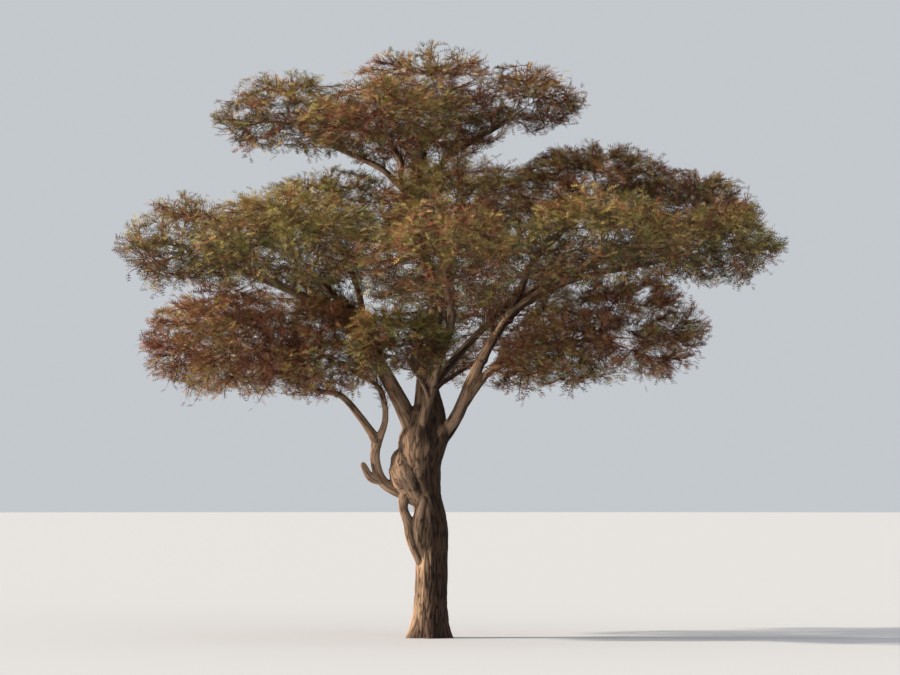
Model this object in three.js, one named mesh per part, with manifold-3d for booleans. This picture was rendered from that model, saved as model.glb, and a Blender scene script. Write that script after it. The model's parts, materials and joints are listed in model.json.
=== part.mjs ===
// Umbrella acacia of a stony desert plain: trunk, boughs and masses of foliage, each its own solid.
// Millimetres, +X right, +Y away from the viewer, +Z up. The origin is the centre of the flat cut
// through the trunk at ground level.
import * as THREE from "three";
import { mergeVertices } from "three/addons/utils/BufferGeometryUtils.js";
import Module from "manifold-3d";

const wasm = await Module();
wasm.setup();
const { Manifold, Mesh } = wasm;

// Finishes
const BARK = { color: 0x5b4a3c, roughness: 0.95, metalness: 0 };
const FOLIAGE = { color: 0x74693f, roughness: 0.9, metalness: 0 };

// Trunk: stations up its middle line, with the radius of the round that its section is drawn from.
// It leans a little left and swells where the boughs grow out of it.
const TRUNK = [
  { at: [0, 0, 0], r: 172 },
  { at: [10, 4, 350], r: 164 },
  { at: [20, 10, 780], r: 157 },
  { at: [22, 12, 1110], r: 152 },
  { at: [-46, 8, 1430], r: 148 },
  { at: [-100, 0, 1730], r: 222 },
  { at: [-86, 0, 1990], r: 238 },
  { at: [-88, 4, 2190], r: 150 },
];
const TRUNK_SIDES = 18;
const TRUNK_STEPS = 15;
const FLARE = { grow: 0.3, height: 130, buttresses: 5, depth: 0.16, turn: 0.5 };
const FLUTE = { count: 3, depth: 0.055, twist: 0.0011, turn: 2.2 };

// Limbs
const LIMB_SIDES = 6;
const LIMB_STEP = 330;
const FEWEST_STEPS = 3;
const MOST_STEPS = 7;
const COLLAR = { grow: 0.45, length: 90 };
const CROOK = 0.045;
const RISE = [
  { across: 0.16, up: 0.26 },
  { across: 0.4, up: 0.58 },
  { across: 0.72, up: 0.82 },
];
const JOINT_GAP = 0.4;
const BUTT_GAP = 0.3;
const FLAT = 0.01;

// The elbow carries no mass: it leaves the trunk low on the left, turns up beside it and forks.
const ELBOW = {
  name: "bough_low_left",
  parent: "trunk",
  share: 0.62,
  via: [[-300, -60, 1450], [-470, -90, 1560], [-545, -100, 1760]],
  tip: [-530, -100, 1985],
  base: 62,
  end: 46,
};

// Foliage: each mass has a centre, half its breadth, depth and height, and the bough that carries it.
// A bough leaves its parent at a share of the parent's length, by way of any point in via.
const MASSES = [
  {
    name: "cap_centre", at: [20, -80, 5360], half: [880, 860, 600], parent: "trunk", share: 0.93,
    via: [[-40, 20, 2700], [60, 40, 3350], [-170, 30, 4250]], base: 98, end: 36,
  },
  {
    name: "cap_left", at: [-1400, 150, 5210], half: [810, 820, 500],
    parent: "cap_centre", share: 0.83, base: 40,
  },
  {
    name: "cap_right", at: [980, 100, 5380], half: [620, 720, 390],
    parent: "cap_centre", share: 0.82, base: 34,
  },
  {
    name: "cap_front", at: [-450, -1180, 5110], half: [880, 600, 490],
    parent: "cap_centre", share: 0.77, base: 38,
  },
  {
    name: "cap_back", at: [-120, 1180, 5170], half: [980, 640, 490],
    parent: "cap_centre", share: 0.74, base: 38,
  },
  {
    name: "left_tip", at: [-2440, -300, 3890], half: [700, 920, 560], parent: "trunk", share: 0.86,
    via: [[-330, -60, 2420], [-760, -120, 3060], [-1300, -200, 3420]], base: 96, end: 32,
  },
  {
    name: "left_top", at: [-1000, 320, 4230], half: [1040, 980, 510],
    parent: "left_tip", share: 0.42, base: 44,
  },
  {
    name: "left_front", at: [-1320, -1380, 3880], half: [1020, 980, 620],
    parent: "left_tip", share: 0.33, base: 46,
  },
  {
    name: "left_back", at: [-1620, 1680, 3940], half: [1080, 980, 580],
    parent: "left_tip", share: 0.24, base: 50,
  },
  {
    name: "right_shoulder", at: [2640, 560, 4270], half: [740, 880, 460], parent: "trunk", share: 0.78,
    via: [[110, -60, 1980], [270, -100, 2220], [430, -110, 2600], [650, -60, 3010], [930, 20, 3330]],
    base: 86, end: 30,
  },
  {
    name: "right_top", at: [1650, 200, 4510], half: [1010, 960, 480],
    parent: "right_shoulder", share: 0.5, base: 42,
  },
  {
    name: "right_tip", at: [2840, -480, 3900], half: [700, 900, 490],
    parent: "right_shoulder", share: 0.58, base: 36,
  },
  {
    name: "right_front", at: [1660, -1480, 3880], half: [1020, 980, 600],
    parent: "right_shoulder", share: 0.36, base: 46,
  },
  {
    name: "front", at: [130, -2250, 3670], half: [920, 740, 600], parent: "trunk", share: 0.88,
    via: [[40, -430, 2620], [210, -1000, 3130]], base: 70, end: 32,
  },
  {
    name: "centre_front", at: [280, -900, 4210], half: [900, 860, 660],
    parent: "front", share: 0.3, base: 44,
  },
  {
    name: "clump_front", at: [-290, -1240, 2920], half: [560, 540, 440],
    parent: "front", share: 0.2, base: 28,
  },
  {
    name: "back", at: [100, 2300, 3850], half: [980, 740, 620], parent: "trunk", share: 0.88,
    via: [[-30, 420, 2620], [20, 980, 3120]], base: 74, end: 32,
  },
  { name: "centre_back", at: [330, 1050, 4270], half: [920, 820, 610], parent: "back", share: 0.3, base: 44 },
  {
    name: "right_back", at: [1760, 1780, 4010], half: [1080, 980, 570],
    parent: "back", share: 0.24, base: 50,
  },
  {
    name: "low_left_out", at: [-2080, -560, 2900], half: [820, 820, 680],
    parent: "bough_low_left", share: 0.985,
    via: [[-700, -130, 2210], [-900, -160, 2420], [-1160, -220, 2470]], base: 42, end: 22,
  },
  {
    name: "low_left_in", at: [-1060, -640, 2860], half: [620, 660, 600],
    parent: "bough_low_left", share: 0.93,
    via: [[-445, -130, 2180], [-500, -150, 2480]], base: 38, end: 20,
  },
  {
    name: "low_left_back", at: [-1780, 980, 2960], half: [880, 820, 600],
    parent: "left_back", share: 0.34, base: 34,
  },
  {
    name: "low_right_out", at: [1980, -340, 3060], half: [820, 800, 640],
    parent: "right_shoulder", share: 0.2,
    via: [[760, -150, 2800]], base: 40, end: 22,
  },
  {
    name: "low_right_in", at: [1120, -640, 2920], half: [700, 700, 640],
    parent: "low_right_out", share: 0.3, base: 28,
  },
  { name: "low_back", at: [620, 1500, 3020], half: [900, 800, 600], parent: "back", share: 0.14, base: 34 },
];
const BOUGH_END = 24;
const BETWEEN_MASSES = 14;
const ENTRY_DEPTH = 90;
const ENTRY_STEPS = 200;

// Shoots and leaves inside a mass. Each leaf is one blade that stands for a spray.
const SHOOTS = 8;
const REACH = 0.97;
const BUD_TOP = 0.93;
const BUD_FALL = 1.75;
const STEM_SIDES = 5;
const STEM_STEPS = 3;
const STEM_DROP = 0.12;
const PULLS = 12;
const PULL = 0.05;
const LEAST_SHOOT = 120;
const TWIG_SIDES = 3;
const TWIG_END = 9;
const FLATTEN = 1.7;
const TURN_COST = 0.35;
const STEM_BEND = 0.4;
const THINNER = 0.8;
const LEAF = { length: 540, width: 300, thick: 26 };
const LEAF_SINK = 7;
const LEAF_PLACES = [0.25, 0.55, 0.85];
const LEAF_INWARD = 0.35;
const LEAF_SPREAD = 0.9;
const LEAF_ROLL = 1.35;
const LEAF_LIFT = 0.5;
const LEAF_PAST_TWIG = 0.75;
const ROOM = { twig: 30, leaf: 145 };
const CLEAR = 12;

const GOLDEN_ANGLE = Math.PI * (3 - Math.sqrt(5));
const UP = new THREE.Vector3(0, 0, 1);
const AHEAD = new THREE.Vector3(0, 1, 0);
const STEEP = 0.97;
const vec = ([x, y, z]) => new THREE.Vector3(x, y, z);

// Term n of an additive sequence that spreads evenly over 0 to 1. The steps are powers of the root
// of x ** 4 = x + 1, so that four of them used together stay evenly spread.
const EVEN_STEPS = [0.8191725134, 0.6710436067, 0.5497004779, 0.4503195];
const even = (n, which, seed) => (0.5 + seed * 0.137 + n * EVEN_STEPS[which]) % 1;

// A closed mesh as a solid
function solidOf(geometry) {
  const bare = geometry.clone();
  bare.deleteAttribute("normal");
  bare.deleteAttribute("uv");
  const merged = mergeVertices(bare, 1e-3);
  return new Manifold(
    new Mesh({
      numProp: 3,
      vertProperties: new Float32Array(merged.attributes.position.array),
      triVerts: new Uint32Array(merged.index.array),
    }),
  );
}

// The largest body of a solid: scraps that a cut leaves behind and sealed hollows are dropped.
const largestBody = (solid) => solid.decompose().sort((a, b) => b.volume() - a.volume())[0];

function geometryOf(solid) {
  const { vertProperties, numProp, numVert, triVerts } = solid.getMesh();
  const positions = new Float32Array(numVert * 3);
  for (let i = 0; i < numVert; i++) {
    positions.set(vertProperties.subarray(i * numProp, i * numProp + 3), i * 3);
  }
  const geometry = new THREE.BufferGeometry();
  geometry.setAttribute("position", new THREE.BufferAttribute(positions, 3));
  geometry.setIndex(new THREE.BufferAttribute(triVerts, 1));
  return geometry;
}

// A solid as a named mesh that stands at its foot. Slivers too thin for 32-bit numbers close up on the
// way, and what only they held on is dropped.
function meshOf(solid, name, finish, foot) {
  const rounded = solidOf(geometryOf(largestBody(solid)).translate(-foot.x, -foot.y, -foot.z));
  const geometry = geometryOf(largestBody(rounded));
  geometry.computeVertexNormals();
  const mesh = new THREE.Mesh(geometry, new THREE.MeshStandardMaterial(finish));
  mesh.name = name;
  mesh.position.copy(foot);
  return mesh;
}

// A cylinder bent along a curve, with a radius for each share of the length and each angle round it.
// Grown, it stands out all round and past both ends.
function bentRod(curve, radiusAt, sides, steps, grow = 0) {
  const rod = new THREE.CylinderGeometry(1, 1, 1, sides, steps);
  const { tangents, normals } = curve.computeFrenetFrames(steps);
  const places = rod.attributes.position;
  for (let i = 0; i < places.count; i++) {
    const share = places.getY(i) + 0.5;
    const k = Math.round(share * steps);
    const across = normals[k];
    const along = new THREE.Vector3().crossVectors(across, tangents[k]);
    const radius = grow + radiusAt(share, Math.atan2(places.getZ(i), places.getX(i)));
    const past = k === steps ? grow : k === 0 ? -grow : 0;
    const point = curve
      .getPoint(share)
      .addScaledVector(tangents[k], past)
      .addScaledVector(across, places.getX(i) * radius)
      .addScaledVector(along, places.getZ(i) * radius);
    places.setXYZ(i, point.x, point.y, point.z);
  }
  return rod;
}

// Trunk radius: a smooth taper through the stations, buttressed at the foot and fluted above it
const trunkCurve = new THREE.CatmullRomCurve3(TRUNK.map((s) => vec(s.at)), false, "centripetal");
const trunkTaper = new THREE.SplineCurve(TRUNK.map((s, i) => new THREE.Vector2(i, s.r)));
function trunkRadius(share, angle) {
  const z = trunkCurve.getPoint(share).z;
  const foot = Math.exp(-z / FLARE.height);
  const buttress = 1 + FLARE.depth * foot * Math.cos(FLARE.buttresses * angle + FLARE.turn);
  const flute = 1 + FLUTE.depth * Math.cos(FLUTE.count * angle + FLUTE.turn + FLUTE.twist * z);
  return trunkTaper.getPoint(share).y * (1 + FLARE.grow * foot) * buttress * flute;
}

function trunkSolid(grow) {
  const rod = bentRod(trunkCurve, trunkRadius, TRUNK_SIDES, TRUNK_STEPS, grow);
  const places = rod.attributes.position;
  for (let i = 0; i < places.count; i++) {
    if (places.getZ(i) < TRUNK[1].at[2] / TRUNK_STEPS) places.setZ(i, 0);
  }
  return solidOf(rod);
}

// Spaces: a mass keeps to its ellipsoid, on its own side of a plane towards each neighbour.
const reachAlong = (mass, way) =>
  1 / Math.hypot(way.x / mass.half[0], way.y / mass.half[1], way.z / mass.half[2]);

function facePlanes(mass, masses) {
  const planes = [];
  for (const other of masses) {
    if (other === mass) continue;
    const way = vec(other.at).sub(vec(mass.at));
    const apart = way.length();
    way.normalize();
    const own = reachAlong(mass, way);
    const theirs = reachAlong(other, way);
    planes.push({ way, limit: (apart * own) / (own + theirs) - BETWEEN_MASSES / 2 });
  }
  return planes;
}

function inSpace(mass, point, margin) {
  const p = point.clone().sub(mass.centre);
  const [a, b, c] = mass.half.map((h) => h - margin);
  if ((p.x / a) ** 2 + (p.y / b) ** 2 + (p.z / c) ** 2 > 1) return false;
  return mass.planes.every(({ way, limit }) => p.dot(way) < limit - margin);
}

// The point where a bough from a place on its parent has come a little way into its mass
function entryPoint(mass, from) {
  const path = mass.centre.clone().sub(from);
  for (let i = 0; i <= ENTRY_STEPS; i++) {
    const point = from.clone().addScaledVector(path, i / ENTRY_STEPS);
    if (inSpace(mass, point, ENTRY_DEPTH)) return point;
  }
  return mass.centre.clone();
}

// Limb curve: by way of the points given, or steep at first and flatter towards its mass
function limbCurve(from, via, tip, seed) {
  const chord = tip.clone().sub(from);
  const sideways = new THREE.Vector3(-chord.y, chord.x, 0).normalize();
  const crook = CROOK * chord.length();
  const points = via
    ? via.map(vec)
    : RISE.map(({ across, up }, i) =>
        new THREE.Vector3(chord.x * across, chord.y * across, chord.z * up)
          .add(from)
          .addScaledVector(sideways, crook * (2 * even(i, 0, seed) - 1)),
      );
  return new THREE.CatmullRomCurve3([from, ...points, tip], false, "centripetal");
}

// Limbs by name: curve, taper and line segments for measuring the distance to them
const limbs = new Map();
function addLimb(name, parent, share, via, tip, base, end) {
  const from = parent.curve.getPointAt(share);
  const curve = limbCurve(from, via, typeof tip === "function" ? tip(from) : tip, limbs.size);
  const length = curve.getLength();
  const collar = (s) => 1 + COLLAR.grow * Math.exp((-s * length) / COLLAR.length);
  const radiusAt = (s) => THREE.MathUtils.lerp(base, end, s) * collar(s);
  const steps = THREE.MathUtils.clamp(Math.round(length / LIMB_STEP), FEWEST_STEPS, MOST_STEPS);
  const line = curve.getPoints(steps * 3);
  const radii = line.map((_, i) => radiusAt(i / (steps * 3)));
  const limb = { name, curve, line, radii, end, from, length };
  limb.solid = (grow) => solidOf(bentRod(curve, radiusAt, LIMB_SIDES, steps, grow)).simplify(FLAT);
  limbs.set(name, limb);
  return limb;
}

const trunk = { name: "trunk", curve: trunkCurve, solid: trunkSolid, from: new THREE.Vector3() };
trunk.line = trunkCurve.getPoints(TRUNK_STEPS);
trunk.radii = trunk.line.map((_, i) => trunkRadius(i / TRUNK_STEPS, 0) * (1 + FLUTE.depth * 2));
limbs.set("trunk", trunk);
addLimb(ELBOW.name, trunk, ELBOW.share, ELBOW.via, vec(ELBOW.tip), ELBOW.base, ELBOW.end);

for (const mass of MASSES) {
  mass.centre = vec(mass.at);
  mass.planes = facePlanes(mass, MASSES);
}
for (const mass of MASSES) {
  const parent = limbs.get(mass.parent) ?? limbs.get("bough_" + mass.parent);
  const lastVia = mass.via && vec(mass.via.at(-1));
  const tip = (from) => entryPoint(mass, lastVia ?? from);
  const end = mass.end ?? BOUGH_END;
  mass.bough = addLimb("bough_" + mass.name, parent, mass.share, mass.via, tip, mass.base, end);
}

// Shortest distance between the segments p to q and a to b
function segmentGap(p, q, a, b) {
  const d1 = q.clone().sub(p);
  const d2 = b.clone().sub(a);
  const r = p.clone().sub(a);
  const aa = d1.dot(d1);
  const ee = d2.dot(d2);
  const f = d2.dot(r);
  const c = d1.dot(r);
  const bb = d1.dot(d2);
  const denominator = aa * ee - bb * bb;
  let s = denominator > 1e-9 ? THREE.MathUtils.clamp((bb * f - c * ee) / denominator, 0, 1) : 0;
  let t = (bb * s + f) / ee;
  if (t < 0 || t > 1) {
    t = THREE.MathUtils.clamp(t, 0, 1);
    s = THREE.MathUtils.clamp((bb * t - c) / aa, 0, 1);
  }
  return p.clone().addScaledVector(d1, s).distanceTo(a.clone().addScaledVector(d2, t));
}

function touchesLimb(p, q, radius) {
  for (const limb of limbs.values()) {
    for (let i = 1; i < limb.line.length; i++) {
      const clear = radius + limb.radii[i - 1] + CLEAR;
      if (segmentGap(p, q, limb.line[i - 1], limb.line[i]) < clear) return true;
    }
  }
  return false;
}

// Bud n of a mass, in shares of its half sizes: one on the side that faces out of the crown, one on
// top, and the others spread evenly over the rest of its skin
function budShares(mass, n, seed) {
  const angle = Math.atan2(mass.centre.y, mass.centre.x) + GOLDEN_ANGLE * n;
  if (n === 1) return [0, 0, REACH];
  const height = n === 0 ? 0 : BUD_TOP - BUD_FALL * even(n, 0, seed);
  const out = Math.sqrt(1 - height * height) * REACH;
  return [Math.cos(angle) * out, Math.sin(angle) * out, height];
}

function budPoint(mass, n, seed) {
  const shares = budShares(mass, n, seed);
  return mass.centre.clone().add(vec(shares).multiply(vec(mass.half)));
}

// The bud pulled towards the middle of its mass until a leaf that ends there lies in the mass's space
function pulledIn(mass, bud) {
  for (let i = 0; i < PULLS && !inSpace(mass, bud, LEAF.thick / 2); i++) bud.lerp(mass.centre, PULL);
  return bud;
}

// The wood that a shoot to a bud grows from: near it, level with it and not behind it
function nearestWood(wood, bud) {
  let best = null;
  let least = Infinity;
  for (const node of wood) {
    const way = bud.clone().sub(node.at);
    const turn = 1 - way.clone().normalize().dot(node.way);
    const cost = Math.hypot(way.x, way.y, way.z * FLATTEN) * (1 + TURN_COST * turn);
    if (cost < least) {
      least = cost;
      best = node;
    }
  }
  return best;
}

// The ways along, across and through a leaf that lies from its root to its tip, rolled from flat
function leafFrame(root, tip, roll) {
  const way = tip.clone().sub(root).normalize();
  const side = new THREE.Vector3().crossVectors(Math.abs(way.z) > STEEP ? AHEAD : UP, way);
  side.normalize().applyAxisAngle(way, roll);
  return { way, side, flat: new THREE.Vector3().crossVectors(way, side) };
}

// A leaf blade as an eight-faced solid
function leafSolid(root, tip, { way, side, flat }) {
  const length = root.distanceTo(tip);
  const blade = new THREE.OctahedronGeometry(1);
  blade.scale(length / 2, LEAF.width / 2, LEAF.thick / 2);
  blade.translate(length / 2, 0, 0);
  return solidOf(blade.applyMatrix4(new THREE.Matrix4().makeBasis(way, side, flat).setPosition(root)));
}

function leafFits(mass, root, tip, { side }, others) {
  const middle = root.clone().lerp(tip, 0.5);
  const left = middle.clone().addScaledVector(side, LEAF.width / 2);
  const right = middle.clone().addScaledVector(side, -LEAF.width / 2);
  if (![tip, left, right].every((p) => inSpace(mass, p, LEAF.thick / 2))) return false;
  if (others.some(({ from, to, room }) => segmentGap(middle, tip, from, to) < room)) return false;
  return !touchesLimb(root, tip, LEAF.width / 2);
}

// The stem of a mass, on from its bough's tip, and the straight shoots that grow from it to the buds.
// Each shoot stops short of its bud, and its last leaf reaches on to it.
function growTwigs(mass, seed) {
  const bough = mass.bough.curve;
  const tipWay = bough.getTangentAt(1);
  const foot = bough.getPointAt(1).addScaledVector(tipWay, BUTT_GAP);
  const stemEnd = mass.centre.clone().addScaledVector(UP, -STEM_DROP * mass.half[2]);
  const bend = foot.clone().addScaledVector(tipWay, STEM_BEND * foot.distanceTo(stemEnd));
  const stem = { curve: new THREE.QuadraticBezierCurve3(foot, bend, stemEnd), shoots: 1 };
  const twigs = [stem];
  const wood = [];
  for (let i = 1; i <= STEM_STEPS; i++) {
    const share = i / STEM_STEPS;
    wood.push({ at: stem.curve.getPoint(share), way: stem.curve.getTangent(share), twig: stem, share });
  }
  for (let n = 0; n < SHOOTS; n++) {
    const bud = pulledIn(mass, budPoint(mass, n, seed));
    const node = nearestWood(wood, bud);
    const reach = bud.distanceTo(node.at);
    const way = bud.clone().sub(node.at).normalize();
    const end = bud.clone().addScaledVector(way, -LEAF_PAST_TWIG * LEAF.length);
    if (reach < LEAST_SHOOT + LEAF_PAST_TWIG * LEAF.length) continue;
    if (!inSpace(mass, node.at.clone().lerp(bud, 0.5), TWIG_END)) continue;
    if (touchesLimb(node.at, end, 2 * TWIG_END)) continue;
    const curve = new THREE.LineCurve3(node.at, end);
    const twig = { curve, bud, parent: node.twig, from: node.share, shoots: 1 };
    twigs.push(twig);
    for (const share of [0.5, 1]) wood.push({ at: twig.curve.getPoint(share), way, twig, share });
    for (let up = twig.parent; up; up = up.parent) up.shoots += 1;
  }
  return twigs;
}

// Foliage of one mass: its twigs, tapered by the shoots that each one carries, and leaves along them
function massSolid(mass, seed) {
  const twigs = growTwigs(mass, seed);
  const parts = [];
  for (const twig of twigs) {
    const { curve, parent, shoots, from } = twig;
    const own = mass.bough.end * Math.sqrt(shoots / twigs[0].shoots);
    const most = parent ? THINNER * THREE.MathUtils.lerp(parent.base, TWIG_END, from) : own;
    twig.base = Math.min(own, most);
    const radiusAt = (s) => THREE.MathUtils.lerp(twig.base, TWIG_END, s);
    const [sides, steps] = parent ? [TWIG_SIDES, 1] : [STEM_SIDES, STEM_STEPS];
    parts.push(solidOf(bentRod(curve, radiusAt, sides, steps)).simplify(FLAT));
  }
  const taken = twigs.map((twig) => {
    const [from, to] = [twig.curve.getPoint(0), twig.curve.getPoint(1)];
    return { twig, from, to, room: ROOM.twig };
  });
  const placeLeaf = (twig, root, tip) => {
    const frame = leafFrame(root, tip, LEAF_ROLL * (2 * even(parts.length, 1, seed) - 1));
    const others = taken.filter((other) => other.twig !== twig);
    if (!leafFits(mass, root, tip, frame, others)) return false;
    parts.push(leafSolid(root, tip, frame));
    taken.push({ from: root.clone().lerp(tip, 0.5), to: tip, room: ROOM.leaf });
    return true;
  };
  for (const twig of twigs.slice(1)) {
    const end = twig.curve.getPoint(1);
    placeLeaf(twig, end.addScaledVector(twig.curve.getTangent(1), -LEAF_SINK), twig.bud);
  }
  for (const share of LEAF_PLACES) {
    for (const [i, twig] of twigs.slice(1).entries()) {
      const root = twig.curve.getPoint(share);
      const inward = mass.centre.clone().sub(root).setLength(LEAF_INWARD);
      for (const side of i % 2 ? [1, -1] : [-1, 1]) {
        const way = twig.curve.getTangent(share).applyAxisAngle(UP, side * LEAF_SPREAD).add(inward);
        way.z += LEAF_LIFT * (2 * even(parts.length, 2, seed) - 1);
        if (placeLeaf(twig, root, root.clone().addScaledVector(way.normalize(), LEAF.length))) break;
      }
    }
  }
  return Manifold.union(parts);
}

// The tree
const wood = new THREE.Group();
const crown = new THREE.Group();
const cutters = [];
for (const limb of limbs.values()) {
  let solid = limb.solid(0);
  for (const cutter of cutters) solid = solid.subtract(cutter);
  wood.add(meshOf(solid, limb.name, BARK, limb.from));
  cutters.push(limb.solid(JOINT_GAP));
}
MASSES.forEach((mass, i) => {
  crown.add(meshOf(massSolid(mass, i), "foliage_" + mass.name, FOLIAGE, mass.bough.curve.getPointAt(1)));
});

const tree = new THREE.Group();
tree.add(wood, crown);
export default tree;
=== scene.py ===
"""Umbrella acacia: bark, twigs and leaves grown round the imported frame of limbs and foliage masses.

Metres, +X right, +Y away from the viewer, +Z up, with the origin on the flat cut at ground level.
The boughs, shoots and buds follow the same rule as the solids. Here it goes on to finer twigs.
"""

import json
import math

import bpy
import numpy as np
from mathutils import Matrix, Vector, noise

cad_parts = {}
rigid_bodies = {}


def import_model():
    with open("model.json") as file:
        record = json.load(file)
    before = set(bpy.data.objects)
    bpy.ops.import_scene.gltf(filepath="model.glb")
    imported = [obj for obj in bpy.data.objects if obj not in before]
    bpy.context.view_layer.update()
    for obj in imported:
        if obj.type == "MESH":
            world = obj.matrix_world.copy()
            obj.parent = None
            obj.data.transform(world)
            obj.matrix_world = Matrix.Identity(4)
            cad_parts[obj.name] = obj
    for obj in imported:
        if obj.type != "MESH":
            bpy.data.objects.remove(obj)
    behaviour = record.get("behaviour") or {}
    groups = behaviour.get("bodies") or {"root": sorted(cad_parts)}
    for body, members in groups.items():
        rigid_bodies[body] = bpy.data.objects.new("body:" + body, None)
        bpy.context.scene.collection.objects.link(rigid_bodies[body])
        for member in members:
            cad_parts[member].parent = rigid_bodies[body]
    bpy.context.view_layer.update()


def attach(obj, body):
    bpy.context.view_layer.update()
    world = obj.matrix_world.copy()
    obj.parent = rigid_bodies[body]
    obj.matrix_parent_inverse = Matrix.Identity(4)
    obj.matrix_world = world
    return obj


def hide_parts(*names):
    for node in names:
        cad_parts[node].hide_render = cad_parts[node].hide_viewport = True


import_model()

# Trunk: stations up its middle line with the radius there, and the flare and flutes on it
TRUNK = [
    ((0, 0, 0), 0.172),
    ((0.01, 0.004, 0.35), 0.164),
    ((0.02, 0.01, 0.78), 0.157),
    ((0.022, 0.012, 1.11), 0.152),
    ((-0.046, 0.008, 1.43), 0.148),
    ((-0.1, 0, 1.73), 0.222),
    ((-0.086, 0, 1.99), 0.238),
    ((-0.088, 0.004, 2.19), 0.15),
]
FLARE = {"grow": 0.3, "height": 0.13, "buttresses": 5, "depth": 0.16, "turn": 0.5}
FLUTE = {"count": 3, "depth": 0.055, "twist": 1.1, "turn": 2.2}
TRUNK_BLUR = 0.03
TRUNK_STEPS = 5

# Limbs: length and number of their steps, how they thicken at the root and swing from side to side, how
# they rise, as shares across and up, and the close samples of their skin
LIMB_STEP = 0.33
FEWEST_STEPS = 3
MOST_STEPS = 7
LINES_IN_STEP = 3
COLLAR = {"grow": 0.45, "length": 0.09}
CROOK = 0.045
RISE = [(0.16, 0.26), (0.4, 0.58), (0.72, 0.82)]
BOUGH_END = 0.024
CLOSE_STEP = 0.02
FEWEST_CLOSE = 8
CLOSE_SHARES = np.linspace(0, 1, 201)
ELBOW = {
    "share": 0.62,
    "via": [(-0.3, -0.06, 1.45), (-0.47, -0.09, 1.56), (-0.545, -0.1, 1.76)],
    "tip": (-0.53, -0.1, 1.985),
    "base": 0.062,
    "end": 0.046,
}

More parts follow.
